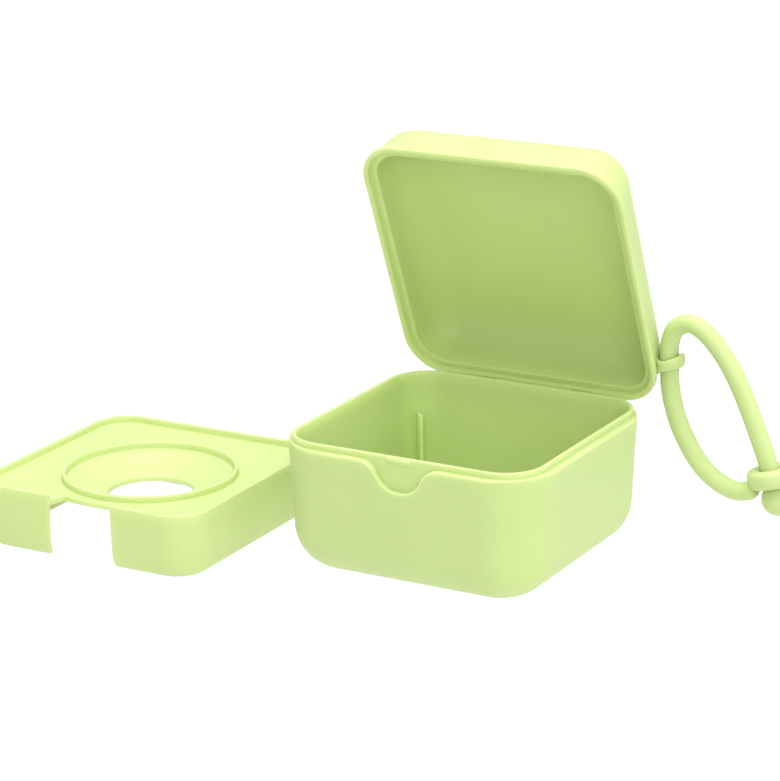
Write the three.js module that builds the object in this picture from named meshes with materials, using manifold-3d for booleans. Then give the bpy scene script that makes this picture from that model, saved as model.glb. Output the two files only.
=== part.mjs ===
// A pacifier sterilizer case: a rounded square tub, a hinged lid with a carrying strap, and a
// lift-out tray that holds a pacifier over the water. Millimetres, +Z up, the tub's front faces -Y.
// The origin is the middle of the tub's underside. The lid stands part open and the tray is out.
import * as THREE from "three";
import { mergeVertices } from "three/addons/utils/BufferGeometryUtils.js";
import Module from "manifold-3d";

// Tub
const caseWidth = 80; // across the shoulder that the lid closes on
const shoulderHeight = 37;
const tubCornerRadius = 16.7;
const tubDraftShare = 0.05; // the wall draws in by this share of the height below the shoulder
const footFillet = 12;
const shoulderRound = 0.4;
const floorThickness = 2.8;
const cavityFillet = 9;
const cavityDraftShare = 0.03;

// Lip of the tub, which stands inside the lid's rim
const lipInset = 2.1;
const lipRise = 1.7;
const lipThickness = 1.1;
const lipCornerRadius = 11.6;
const lipRound = 0.2;
const leadInHeight = 2.1;
const leadInDepth = 0.45;

// Finger notch in the tub's front, and the catch bump over it
const notchAcross = 0.9; // its middle, from the tub's
const notchMiddle = 6.5; // from there to the middle of a flank
const notchBlend = 4.6; // half of a flank's width
const notchDepth = 7.95;
const notchStep = 0.05; // keeps the notch's back just off the lip's own face
const catchRadius = 0.75;
const catchHalfWidth = 3.85;
const catchProud = 0.5;

// Ribs in the tub's corners that carry the tray's skirt
const ribThickness = 1;
const ribTopHeight = 26.6;
const ribReach = 4.6; // from the cavity's corner towards the middle
const ribRoot = 6; // what runs into the corner's wall

// Lid
const lidHeight = 17.95; // above its rim
const closingGap = 0.25; // between the shoulder and the closed lid's rim
const rimOverhang = 0.11; // past the tub's shoulder
const rimCornerRadius = 12.1;
const rimBandHeight = 1.65;
const rimBandProud = 0.37;
const rimBandBlend = 0.7;
const rimRound = 0.2;
const lidCornerRadius = 13.1;
const lidSideDraftShare = 0.161;
const lidFrontDraftShare = 0.045;
const hollowDraftShare = 0.02;
const crownFillet = 10.35;
const lidWall = 2.3;
const rebateDepth = 1.55;
const rimThickness = 1.55; // beside the rebate
const rimRearThickness = 1.9;
const ledgeWidth = 2;

// Hinge
const hingeSetback = 0.53; // axis behind the tub's rear face
const hingeDrop = 1.98; // axis below the shoulder
const earRadius = 2;
const earLength = 6;
const knuckleRadius = 1.9;
const knuckleHalfLength = 12;
const knuckleWebBack = 0.6; // the web's rear face under the rim, from the hinge's axis
const hingeGap = 0.3; // between knuckle and ears, and between knuckle and pocket
const pinRadius = 1;
const pinClearance = 0.15;
const pinProud = 0.2;
const openDegrees = 66.83;

// Eyelet on the lid's right side
const eyeletSink = 0.9; // the cord's near side, from the tub's side face
const eyeletFromRear = 10.07;
const eyeletAboveRim = 6.456;
const eyeletClearance = 0.25; // round the cord
const eyeletWall = 1.3;
const eyeletThickness = 3.4;
const eyeletRound = 0.6;
const eyeletLeanDegrees = 7; // its outer side stands higher on the opened lid

// Strap
const strapRadius = 2.7;
const strapSides = 10;
const strapSteps = 46;
const strapGap = 0.3; // between the cord's ends and the pieces on them
const strapEyeRadius = 7;
const strapEyeThickness = 5.2;
const strapEyeRound = 1.9;
const strapEyeClearance = 0.25; // round the cord
const strapEyeBack = 6.7; // from the knob's middle along the limb
const strapKnobRadius = 4.8;

// Tray
const trayInset = 3.7; // from the tub's side face, when the tray is in the tub
const trayHeight = 18.5;
const trayCornerRadius = 10;
const trayDraftShare = 0.028;
const trayWall = 1;
const trayTurnIn = 2; // the skirt's foot curves inwards this far
const trayTurnHeight = 7;
const trayRimDrop = 1.9; // from the rim's top down to the plate beside it
const trayPlateSlope = 1.6; // fall of the plate from the rim to the collar
const trayPlateThickness = 1.5;
const collarRadius = 25.2;
const collarRise = 1.9;
const collarWall = 1;
const dishFall = 4.9;
const drainRadius = 12.4;
const gateLeft = 10;
const gateRight = 10.5;
const gateEdgeInset = 6.8; // from the skirt to the plate's edge, an arc about the collar's axis
const gateCornerFillet = 2.5;
const gateEdgeSteps = 8;
const trayAcross = -90.5;
const trayForward = -22.05;
const trayTurnDegrees = 0.52;

// Mesh fineness
const cornerSteps = 7;
const filletSteps = 6;
const roundSides = 24;
const eyeletSides = 20;
const ringPoints = 4 * (cornerSteps + 1);

const overrun = 2; // how far a cutting body runs past what it cuts
const leastCornerRadius = 1;
const weldDistance = 1e-4;
const quarterTurn = Math.PI / 2;
const strapTurn = THREE.MathUtils.degToRad(openDegrees) - quarterTurn; // of the loop's plane, on the lid

// Places that several pieces share
const caseHalf = caseWidth / 2;
const lipHalf = caseHalf - lipInset;
const lipTop = shoulderHeight + lipRise;
const cavityTopHalf = lipHalf - lipThickness;
const cavityCornerRadius = lipCornerRadius - lipThickness;
const leadInFoot = lipTop - leadInHeight;
const rimHalf = caseHalf + rimOverhang;
const rimHeight = shoulderHeight + closingGap;
const lidTop = rimHeight + lidHeight;
const hinge = new THREE.Vector3(0, caseHalf + hingeSetback, shoulderHeight - hingeDrop);
const earInnerEnd = knuckleHalfLength + hingeGap;
const earOuterEnd = earInnerEnd + earLength;
const eyelet = new THREE.Vector3(
  caseHalf + strapRadius - eyeletSink,
  caseHalf - eyeletFromRear,
  rimHeight + eyeletAboveRim,
);
const trayHalf = caseHalf - trayInset;
const gateEdgeRadius = trayHalf - gateEdgeInset;
const platePlaneAtRim = trayHeight - trayRimDrop;
const platePlaneAtCollar = platePlaneAtRim - trayPlateSlope;

const wasm = await Module();
wasm.setup();

// A closed geometry as a solid for joining and cutting.
function solid(geometry) {
  const bare = geometry.index ? geometry.toNonIndexed() : geometry.clone();
  bare.deleteAttribute("normal");
  bare.deleteAttribute("uv");
  const merged = mergeVertices(bare, weldDistance);
  return new wasm.Manifold(
    new wasm.Mesh({
      numProp: 3,
      vertProperties: merged.attributes.position.array,
      triVerts: new Uint32Array(merged.index.array),
    }),
  );
}

function geometryOf(body) {
  const mesh = body.getMesh();
  const geometry = new THREE.BufferGeometry();
  geometry.setAttribute("position", new THREE.BufferAttribute(mesh.vertProperties, 3));
  geometry.setIndex(new THREE.BufferAttribute(mesh.triVerts, 1));
  geometry.computeVertexNormals();
  return geometry;
}

// One level of a rounded square, anticlockwise from above.
function squareRing(halfWidth, halfDepth, cornerRadius, z) {
  const radius = Math.max(cornerRadius, leastCornerRadius);
  const ring = [];
  for (let corner = 0; corner < 4; corner++) {
    const sideX = corner === 0 || corner === 3 ? 1 : -1;
    const sideY = corner < 2 ? 1 : -1;
    for (let step = 0; step <= cornerSteps; step++) {
      const angle = (corner + step / cornerSteps) * quarterTurn;
      const x = sideX * (halfWidth - radius) + radius * Math.cos(angle);
      const y = sideY * (halfDepth - radius) + radius * Math.sin(angle);
      ring.push(new THREE.Vector3(x, y, z));
    }
  }
  return ring;
}

// One level of a round form, with as many points as a rounded square has.
function roundRing(radius, z) {
  const ring = [];
  for (let point = 0; point < ringPoints; point++) {
    const angle = ((point + 1 / 2) / ringPoints) * 4 * quarterTurn;
    ring.push(new THREE.Vector3(radius * Math.cos(angle), radius * Math.sin(angle), z));
  }
  return ring;
}

// A surface through rings of points. It closes on a middle point at each end, or on itself where
// no ends are given. The rings run up the outside of the form.
function skin(rings, ends) {
  const points = rings.flat();
  const count = rings[0].length;
  const index = [];
  const links = ends ? rings.length - 1 : rings.length;
  for (let i = 0; i < links; i++) {
    const low = i * count;
    const high = ((i + 1) % rings.length) * count;
    for (let j = 0; j < count; j++) {
      const next = (j + 1) % count;
      index.push(low + j, low + next, high + next, low + j, high + next, high + j);
    }
  }
  if (ends) {
    const first = points.push(ends[0]) - 1;
    const last = points.push(ends[1]) - 1;
    const top = (rings.length - 1) * count;
    for (let j = 0; j < count; j++) {
      const next = (j + 1) % count;
      index.push(first, next, j, last, top + j, top + next);
    }
  }
  const geometry = new THREE.BufferGeometry().setFromPoints(points);
  geometry.setIndex(index);
  return geometry;
}

const onAxis = (z) => new THREE.Vector3(0, 0, z);

// Steps of a quarter round, from its flat end to its upright end, as [inwards, upwards].
function quarterRound(radius, height = radius) {
  const steps = [];
  for (let step = 0; step <= filletSteps; step++) {
    const angle = (step / filletSteps) * quarterTurn;
    steps.push([radius * (1 - Math.sin(angle)), height * (1 - Math.cos(angle))]);
  }
  return steps;
}

// A flat outline with its second axis upwards, drawn out along X between two places.
function extrudeAlongX(shape, from, to) {
  const geometry = new THREE.ExtrudeGeometry(shape, { depth: to - from, bevelEnabled: false });
  return geometry.rotateX(quarterTurn).rotateZ(quarterTurn).translate(from, 0, 0);
}

// A round bar along X between two places, about the hinge's axis.
function hingeBar(radius, from, to) {
  const bar = new THREE.CylinderGeometry(radius, radius, to - from, roundSides);
  return bar.rotateZ(quarterTurn).translate((from + to) / 2, hinge.y, hinge.z);
}

function tubOutside() {
  const level = (inset, z) => {
    const all = inset + tubDraftShare * (shoulderHeight - z);
    return squareRing(caseHalf - all, caseHalf - all, tubCornerRadius - all, z);
  };
  const rings = quarterRound(footFillet).map(([inwards, up]) => level(inwards, up));
  rings.push(level(0, shoulderHeight - shoulderRound));
  rings.push(level(shoulderRound, shoulderHeight));
  rings.push(squareRing(lipHalf, lipHalf, lipCornerRadius, shoulderHeight));
  rings.push(squareRing(lipHalf, lipHalf, lipCornerRadius, lipTop - lipRound));
  rings.push(squareRing(lipHalf - lipRound, lipHalf - lipRound, lipCornerRadius - lipRound, lipTop));
  return solid(skin(rings, [onAxis(0), onAxis(lipTop)]));
}

function cavityRing(inset, z) {
  const all = inset + leadInDepth + cavityDraftShare * (leadInFoot - z);
  return squareRing(cavityTopHalf - all, cavityTopHalf - all, cavityCornerRadius - all, z);
}

function tubCavity() {
  const rings = quarterRound(cavityFillet).map(([inwards, up]) =>
    cavityRing(inwards, floorThickness + up),
  );
  rings.push(cavityRing(0, leadInFoot));
  rings.push(squareRing(cavityTopHalf, cavityTopHalf, cavityCornerRadius, lipTop));
  rings.push(squareRing(cavityTopHalf, cavityTopHalf, cavityCornerRadius, lipTop + overrun));
  return solid(skin(rings, [onAxis(floorThickness), onAxis(lipTop + overrun)]));
}

// The notch has a wide bottom and curved flanks, and is as deep as the shoulder is wide.
function fingerNotch() {
  const half = notchMiddle + notchBlend;
  const drop = (x) => {
    const flank = THREE.MathUtils.clamp((notchMiddle - Math.abs(x)) / notchBlend, -1, 1);
    return (notchDepth * (1 + Math.sin(flank * quarterTurn))) / 2;
  };
  const shape = new THREE.Shape();
  shape.moveTo(half, shoulderHeight + overrun);
  shape.lineTo(-half, shoulderHeight + overrun);
  for (let step = -roundSides / 2; step <= roundSides / 2; step++) {
    const x = (step / (roundSides / 2)) * half;
    shape.lineTo(x, shoulderHeight - drop(x));
  }
  const depth = lipInset - notchStep + overrun;
  const geometry = new THREE.ExtrudeGeometry(shape, { depth, bevelEnabled: false });
  return solid(geometry.rotateX(quarterTurn).translate(notchAcross, -lipHalf - notchStep, 0));
}

function catchBump() {
  const length = 2 * (catchHalfWidth - catchRadius);
  const bump = new THREE.CapsuleGeometry(catchRadius, length, filletSteps, roundSides / 2);
  const y = -lipHalf + catchRadius - catchProud;
  return solid(bump.rotateZ(quarterTurn).translate(0, y, lipTop - catchRadius));
}

function cornerRib(corner) {
  const cornerInset = cavityCornerRadius * (1 - Math.SQRT1_2);
  const cornerDistance = (cavityTopHalf - cornerInset) * Math.SQRT2;
  const rib = new THREE.BoxGeometry(ribReach + ribRoot, ribThickness, ribTopHeight);
  rib.translate(cornerDistance + (ribRoot - ribReach) / 2, 0, ribTopHeight / 2);
  return solid(rib.rotateZ((corner + 1 / 2) * quarterTurn));
}

// An ear stands on the rear wall, with a flat top under the lid's rim.
function hingeEar(side) {
  const shape = new THREE.Shape();
  shape.moveTo(caseHalf - lipInset, hinge.z - 2 * earRadius);
  shape.lineTo(hinge.y, hinge.z - earRadius);
  shape.absarc(hinge.y, hinge.z, earRadius, -quarterTurn, quarterTurn);
  shape.lineTo(caseHalf - lipInset, hinge.z + earRadius);
  const from = side > 0 ? earInnerEnd : -earOuterEnd;
  return solid(extrudeAlongX(shape, from, from + earLength));
}

function makeTub() {
  const outside = tubOutside();
  const cavity = tubCavity();
  let tub = outside.subtract(cavity);
  for (let corner = 0; corner < 4; corner++) {
    tub = tub.add(cornerRib(corner).intersect(outside));
  }
  tub = tub.subtract(fingerNotch()).add(catchBump());

  const pocketFloor = hinge.z - knuckleRadius - hingeGap;
  const pocketFace = hinge.y - knuckleRadius - hingeGap;
  const pocketTop = shoulderHeight + overrun;
  const pocket = new THREE.BoxGeometry(2 * earInnerEnd, 2 * knuckleRadius, pocketTop - pocketFloor);
  pocket.translate(0, pocketFace + knuckleRadius, (pocketTop + pocketFloor) / 2);
  tub = tub.add(hingeEar(1)).add(hingeEar(-1)).subtract(solid(pocket));

  const boreEnd = earOuterEnd + hingeGap;
  return tub.subtract(solid(hingeBar(pinRadius + pinClearance, -boreEnd, boreEnd)));
}

function lidLevel(inset, z) {
  const side = inset + rimBandProud + lidSideDraftShare * (z - rimHeight);
  const front = inset + rimBandProud + lidFrontDraftShare * (z - rimHeight);
  return squareRing(rimHalf - side, rimHalf - front, lidCornerRadius + rimBandProud - side, z);
}

// One level of the rebate in the lid's rim, which is thicker at the rear.
function rebateLevel(z) {
  const thicker = rimRearThickness - rimThickness;
  const halfWidth = rimHalf - rimThickness;
  const ring = squareRing(halfWidth, halfWidth - thicker / 2, rimCornerRadius - rimThickness, z);
  return ring.map((point) => point.setY(point.y - thicker / 2));
}

// The lid as it lies on the closed tub.
function makeLid() {
  const ceiling = lidTop - lidWall;
  const ceilingFillet = crownFillet - lidWall;
  const ledgeHeight = rimHeight + rebateDepth;
  const rimLevel = (inset, z) => squareRing(rimHalf - inset, rimHalf - inset, rimCornerRadius - inset, z);
  const inner = (inset, z) =>
    rimLevel(inset + rimThickness + ledgeWidth + hollowDraftShare * (z - ledgeHeight), z);
  const rings = quarterRound(ceilingFillet).map(([inwards, down]) => inner(inwards, ceiling - down));
  rings.push(inner(0, ledgeHeight));
  rings.push(rebateLevel(ledgeHeight));
  rings.push(rebateLevel(rimHeight));
  rings.push(rimLevel(rimRound, rimHeight));
  rings.push(rimLevel(0, rimHeight + rimRound));
  rings.push(rimLevel(0, rimHeight + rimBandHeight));
  rings.push(lidLevel(0, rimHeight + rimBandHeight + rimBandBlend));
  const crown = quarterRound(crownFillet).reverse();
  crown.forEach(([inwards, down]) => rings.push(lidLevel(inwards, lidTop - down)));
  let lid = solid(skin(rings, [onAxis(ceiling), onAxis(lidTop)]));

  const webTop = rimHeight + rebateDepth / 2;
  const knuckle = new THREE.Shape();
  knuckle.absarc(hinge.y, hinge.z, knuckleRadius, -2 * quarterTurn, quarterTurn / 2);
  knuckle.lineTo(hinge.y + knuckleWebBack, webTop);
  knuckle.lineTo(hinge.y - knuckleRadius, webTop);
  lid = lid.add(solid(extrudeAlongX(knuckle, -knuckleHalfLength, knuckleHalfLength)));

  const boreEnd = knuckleHalfLength + overrun;
  lid = lid.subtract(solid(hingeBar(pinRadius + pinClearance, -boreEnd, boreEnd)));
  const eyeletBore = strapRadius + eyeletClearance;
  const ring = roundedWasher(eyeletBore, eyeletBore + eyeletWall, eyeletThickness, eyeletRound);
  ring.rotateZ(-THREE.MathUtils.degToRad(eyeletLeanDegrees)).rotateX(strapTurn);
  return lid.add(solid(ring.translate(eyelet.x, eyelet.y, eyelet.z)));
}

// A thick ring about the Y axis with rounded edges.
function roundedWasher(bore, outer, thickness, round) {
  const half = thickness / 2;
  const profile = new THREE.Path();
  profile.moveTo(bore + round, -half);
  profile.lineTo(outer - round, -half);
  profile.absarc(outer - round, -half + round, round, -quarterTurn, 0);
  profile.absarc(outer - round, half - round, round, 0, quarterTurn);
  profile.lineTo(bore + round, half);
  profile.absarc(bore + round, half - round, round, quarterTurn, 2 * quarterTurn);
  profile.absarc(bore + round, -half + round, round, 2 * quarterTurn, 3 * quarterTurn);
  const points = profile.getPoints(filletSteps / 2);
  return new THREE.LatheGeometry(points, eyeletSides);
}

function traySkirtLevel(inset, turn, z) {
  const all = inset + turn + trayDraftShare * (trayHeight - z);
  return squareRing(trayHalf - all, trayHalf - all, trayCornerRadius - all, z);
}

// Seen from the front, the cut-out takes the skirt and the plate as far as an arc round the collar.
function trayGate() {
  const arcEnd = (x) => Math.sqrt(gateEdgeRadius ** 2 - x ** 2);
  const out = -trayHalf - overrun;
  const filletOff = (x) => arcEnd(x) + gateCornerFillet;
  const shape = new THREE.Shape();
  shape.moveTo(-gateLeft, out);
  shape.lineTo(gateRight, out);
  shape.lineTo(gateRight, -filletOff(gateRight));
  const rightStart = gateRight - gateCornerFillet;
  shape.quadraticCurveTo(gateRight, -arcEnd(gateRight), rightStart, -arcEnd(rightStart));
  const leftStart = gateLeft - gateCornerFillet;
  const from = Math.atan2(-arcEnd(rightStart), rightStart);
  const to = Math.atan2(-arcEnd(leftStart), -leftStart);
  shape.absarc(0, 0, gateEdgeRadius, from, to, true);
  shape.quadraticCurveTo(-gateLeft, -arcEnd(gateLeft), -gateLeft, -filletOff(gateLeft));
  const cut = new THREE.ExtrudeGeometry(shape, {
    depth: trayHeight + 2 * overrun,
    bevelEnabled: false,
    curveSegments: gateEdgeSteps,
  });
  return solid(cut.translate(0, 0, -overrun));
}

function makeTray() {
  const foot = quarterRound(trayTurnIn, trayTurnHeight);
  const collarInner = collarRadius - collarWall;
  const collarTop = platePlaneAtCollar + collarRise;
  const drainTop = platePlaneAtCollar - dishFall;
  const underPlate = platePlaneAtRim - trayPlateThickness;
  const rings = foot.map(([turn, up]) => traySkirtLevel(0, turn, up));
  rings.push(traySkirtLevel(0, 0, trayHeight));
  rings.push(traySkirtLevel(trayWall, 0, trayHeight));
  rings.push(traySkirtLevel(trayWall, 0, platePlaneAtRim));
  rings.push(roundRing(collarRadius, platePlaneAtCollar));
  rings.push(roundRing(collarRadius, collarTop));
  rings.push(roundRing(collarInner, collarTop));
  rings.push(roundRing(collarInner, platePlaneAtCollar));
  rings.push(roundRing(drainRadius, drainTop));
  rings.push(roundRing(drainRadius, drainTop - trayPlateThickness));
  rings.push(roundRing(collarInner, platePlaneAtCollar - trayPlateThickness));
  rings.push(traySkirtLevel(trayWall, 0, underPlate));
  foot.reverse().forEach(([turn, up]) => rings.push(traySkirtLevel(trayWall, turn, up)));
  return solid(skin(rings)).subtract(trayGate());
}

// The cord's middle line, by hand, in the loop's plane: outwards from the eyelet, then downwards.
// It starts at the eye, passes through the eyelet, turns at the top and runs down to the knob.
const knobPlace = new THREE.Vector3(33.75, 34.4, 0);
const limbDirection = new THREE.Vector3(0.331, 0.944, 0).normalize();
const alongLimb = (distance) => knobPlace.clone().addScaledVector(limbDirection, -distance);
const strapEyePlace = alongLimb(strapEyeBack);
const cordRoute = [
  [25.5, 32.5],
  [23.85, 33.6],
  [20.4, 34],
  [16.25, 32.65],
  [12.1, 29.95],
  [8.35, 25.95],
  [4.05, 18.75],
  [1.8, 13.05],
  [0.2, 5.9],
  [0, 0],
  [-0.15, -5.85],
  [1.6, -10.8],
  [5.9, -12.85],
  [10.15, -11.15],
  [15.75, -5.6],
  [20.2, 1.2],
  [24.2, 9.4],
  [27.6, 17.55],
].map(([outwards, downwards]) => new THREE.Vector3(outwards, downwards, 0));
cordRoute.push(alongLimb(2 * strapEyeBack));
cordRoute.push(alongLimb(strapEyeBack + strapEyeThickness / 2));
cordRoute.push(alongLimb(strapKnobRadius + strapGap));

function makeStrapCord() {
  const section = new THREE.Shape();
  for (let side = 0; side < strapSides; side++) {
    const angle = (side / strapSides) * 4 * quarterTurn;
    const x = strapRadius * Math.cos(angle);
    const y = strapRadius * Math.sin(angle);
    if (side === 0) section.moveTo(x, y);
    else section.lineTo(x, y);
  }
  const extrudePath = new THREE.CatmullRomCurve3(cordRoute, false, "centripetal");
  return new THREE.ExtrudeGeometry(section, { steps: strapSteps, extrudePath, bevelEnabled: false });
}

function makeStrapEye() {
  const bore = strapRadius + strapEyeClearance;
  const ring = roundedWasher(bore, strapEyeRadius, strapEyeThickness, strapEyeRound);
  const lean = Math.atan2(-limbDirection.x, limbDirection.y);
  return ring.rotateZ(lean).translate(strapEyePlace.x, strapEyePlace.y, strapEyePlace.z);
}

function makeStrapKnob() {
  const ball = new THREE.SphereGeometry(strapKnobRadius, roundSides, roundSides / 2);
  return ball.translate(knobPlace.x, knobPlace.y, knobPlace.z);
}

const caseGreen = new THREE.MeshStandardMaterial({ color: "#d3e69a", roughness: 0.45, metalness: 0 });
const strapGreen = new THREE.MeshStandardMaterial({ color: "#dcf0a4", roughness: 0.6, metalness: 0 });
const pinGrey = new THREE.MeshStandardMaterial({ color: "#e4e6dc", roughness: 0.4, metalness: 0 });

function piece(name, geometry, material) {
  const mesh = new THREE.Mesh(geometry, material);
  mesh.name = name;
  return mesh;
}

const group = new THREE.Group();
group.add(piece("tub", geometryOf(makeTub()), caseGreen));
const pinEnd = earOuterEnd + pinProud;
group.add(piece("hinge_pin", hingeBar(pinRadius, -pinEnd, pinEnd), pinGrey));

// The lid turns about the hinge's axis: its own group is the closed case, seen from that axis.
const lidTurn = new THREE.Group();
lidTurn.position.copy(hinge);
lidTurn.rotation.x = -THREE.MathUtils.degToRad(openDegrees);
const closedLid = new THREE.Group();
closedLid.position.copy(hinge).negate();
lidTurn.add(closedLid);
closedLid.add(piece("lid", geometryOf(makeLid()), caseGreen));
group.add(lidTurn);

// The strap turns in the eyelet, and its loop hangs upright from the opened lid.
const strap = new THREE.Group();
strap.position.copy(eyelet);
strap.rotation.x = strapTurn;
strap.add(piece("strap_cord", makeStrapCord(), strapGreen));
strap.add(piece("strap_eye", makeStrapEye(), strapGreen));
strap.add(piece("strap_knob", makeStrapKnob(), strapGreen));
closedLid.add(strap);

const tray = piece("tray", geometryOf(makeTray()), caseGreen);
tray.position.set(trayAcross, trayForward, 0);
tray.rotation.z = THREE.MathUtils.degToRad(trayTurnDegrees);
group.add(tray);

export default group;
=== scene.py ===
# %% [markdown]
# # A pacifier sterilizer case, step by step
# The real object is a small steam case in one pastel green: a tub, a hinged lid, a lift-out tray and
# a silicone strap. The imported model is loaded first. It gives every place and joint, so each smooth
# piece made below goes exactly where the plain one stands, in metres.

# %% Load the frame
from math import atan2, cos, degrees, pi, radians, sin, sqrt

import bmesh
import bpy
from mathutils import Matrix, Vector


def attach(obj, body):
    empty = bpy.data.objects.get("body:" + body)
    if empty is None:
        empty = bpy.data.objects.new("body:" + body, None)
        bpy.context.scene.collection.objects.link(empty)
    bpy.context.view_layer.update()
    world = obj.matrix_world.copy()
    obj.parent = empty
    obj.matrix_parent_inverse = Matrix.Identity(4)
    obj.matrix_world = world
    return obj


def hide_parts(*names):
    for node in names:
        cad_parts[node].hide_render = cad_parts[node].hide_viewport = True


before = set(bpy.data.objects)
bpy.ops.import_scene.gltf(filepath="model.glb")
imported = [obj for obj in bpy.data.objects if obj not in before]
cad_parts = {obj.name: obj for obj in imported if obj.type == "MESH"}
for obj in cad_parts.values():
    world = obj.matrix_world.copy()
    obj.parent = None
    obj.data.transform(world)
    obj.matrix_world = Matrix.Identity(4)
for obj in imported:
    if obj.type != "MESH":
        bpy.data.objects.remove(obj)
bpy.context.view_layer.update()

# %% [markdown]
# ## The camera
# A long lens from 0.8 m away keeps upright edges nearly parallel, as in a catalogue picture. The
# place and the three turns were fitted to the outlines of tub, lid and tray.

# %% Camera
camera_data = bpy.data.cameras.new("camera")
camera_data.sensor_fit = "HORIZONTAL"
camera_data.sensor_width = 36.0
camera_data.lens = 135.02
camera = bpy.data.objects.new("camera", camera_data)
bpy.context.scene.collection.objects.link(camera)
camera.location = (0.36253, -0.67962, 0.28450)
yaw, pitch, roll = 0.51668, 0.29892, -0.01233
aimed = Matrix.Rotation(yaw, 3, "Z") @ Matrix.Rotation(pi / 2 - pitch, 3, "X")
camera.rotation_euler = (aimed @ Matrix.Rotation(roll, 3, "Z")).to_euler()
bpy.context.scene.camera = camera
print("camera looks", round(degrees(pitch), 1), "degrees down")

# %% [markdown]
# ## Places that several pieces share
# Shapes are drawn in millimetres as they are on the closed case, which is how such a part is
# designed. One matrix then opens the lid about its hinge, one hangs the strap's loop upright from it,
# one sets the tray down beside the tub, and all of them turn millimetres into metres.

# %% Matrices
MM = 0.001
CASE_HALF = 40.0
SHOULDER = 37.0  # the height that the lid closes on
LIP_INSET = 2.1
LIP_TOP = 38.7
LIP_WALL = 1.1
RIM = 37.25  # the closed lid's lower edge
HINGE = Vector((0.0, 40.53, 35.02))
EYELET = Vector((41.8, 29.93, 43.706))
OPEN_ANGLE = radians(66.83)
TRAY_SPOT = Vector((-90.5, -22.05, 0.0))
TRAY_TURN = radians(0.52)

metres = Matrix.Scale(MM, 4)
opened = Matrix.Translation(HINGE) @ Matrix.Rotation(-OPEN_ANGLE, 4, "X") @ Matrix.Translation(-HINGE)
tub_place = metres
lid_place = metres @ opened
strap_place = lid_place @ Matrix.Translation(EYELET) @ Matrix.Rotation(OPEN_ANGLE - pi / 2, 4, "X")
tray_place = metres @ Matrix.Translation(TRAY_SPOT) @ Matrix.Rotation(TRAY_TURN, 4, "Z")
print("eyelet at", [round(v, 4) for v in lid_place @ EYELET])


# %% A finished piece
SHARP_FROM = radians(32)  # edges that turn more than this stay sharp
WELD = 1e-4  # points closer than this become one


def finish_piece(obj, body, nodes, material):
    """The piece rides on its body, hides its plain node and gets its finish."""
    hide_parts(*nodes)
    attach(obj, body)
    obj.data.materials.clear()
    obj.data.materials.append(material)
    if obj.type == "MESH":
        obj.data.polygons.foreach_set("use_smooth", [True] * len(obj.data.polygons))
        obj.data.set_sharp_from_angle(angle=SHARP_FROM)
        print(obj.name, len(obj.data.polygons), "faces")
    return obj


def as_object(bm, name, place=Matrix.Identity(4)):
    """The worked mesh as an object at the origin, with its place in its vertices."""
    bmesh.ops.recalc_face_normals(bm, faces=bm.faces)
    bmesh.ops.transform(bm, matrix=place, verts=bm.verts)
    mesh = bpy.data.meshes.new(name)
    bm.to_mesh(mesh)
    bm.free()
    obj = bpy.data.objects.new(name, mesh)
    bpy.context.scene.collection.objects.link(obj)
    return obj


def combine(obj, other, operation):
    """Joins, cuts or crosses two closed meshes, and leaves the result in the first."""
    step = obj.modifiers.new("step", "BOOLEAN")
    step.operation, step.object, step.solver = operation, other, "EXACT"
    graph = bpy.context.evaluated_depsgraph_get()
    result = bpy.data.meshes.new_from_object(obj.evaluated_get(graph))
    obj.modifiers.clear()
    old, obj.data = obj.data, result
    bpy.data.meshes.remove(old)
    bpy.data.objects.remove(other)
    return obj


# %% [markdown]
# ## Materials
# The case is injection-moulded polypropylene: matte, faintly milky, with a very fine spark-eroded
# grain from the mould and slow drifts of shade where the plastic flowed. The strap is silicone: the
# same green, softer in the light, with a powdery bloom. Noise on Object coordinates gives both their
# grain at its true size, and constant values sit on the shader's own sockets.

# %% Materials
MILKY_RADIUS, MILKY_SCALE = (1.1, 1.1, 0.9), 0.004  # how far light wanders inside, per colour
DRIFT_SCALE = 38.0  # the shades change over about 26 mm
SMOOTHER, ROUGHER = 0.05, 0.06  # how far the roughness drifts each way
GRAIN_STRENGTH = 0.35


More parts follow.
